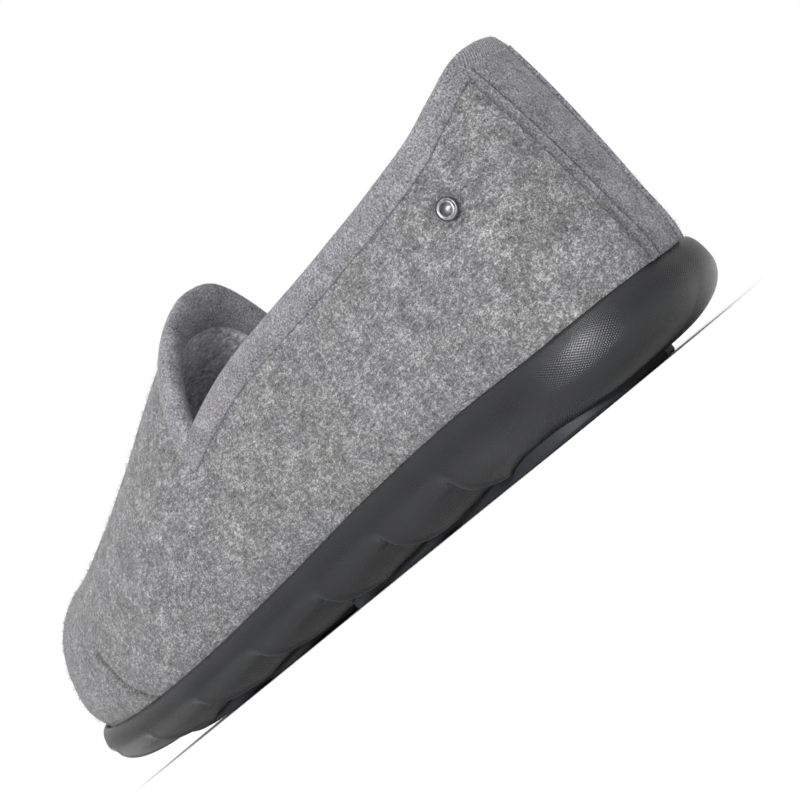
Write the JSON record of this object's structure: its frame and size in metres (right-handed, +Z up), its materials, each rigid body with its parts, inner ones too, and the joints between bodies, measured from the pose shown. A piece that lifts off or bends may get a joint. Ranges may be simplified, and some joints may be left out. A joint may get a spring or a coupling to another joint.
{
  "type": "felt slipper",
  "caption": "Closed-back felt slipper with a raised tongue, bound collar, heel strap and a moulded sole with scalloped sides and two tread pads.",
  "frame": {"origin": "middle of the slipper's bounding box, on the floor it stands on", "axes": "+Z up, -Y towards the toe, +X towards the outer side of this left slipper"},
  "size_m": [0.1012, 0.292, 0.1051],
  "materials": {
    "felt": "mottled grey wool felt",
    "velour": "fine grey velour",
    "velour_dark": "darker grey velour",
    "fleece": "soft pile footbed",
    "sole": "moulded, satin, fine crosshatch",
    "inset": "semi-gloss",
    "stud": "plain, polished"
  },
  "bodies": {
    "root": {"sole": "sole", "heel_inset": "inset", "insole": "fleece", "upper": "felt", "heel_strap": "velour", "collar_binding": "velour", "tongue_binding": "velour_dark", "side_stud": "stud"}
  },
  "joints": []
}
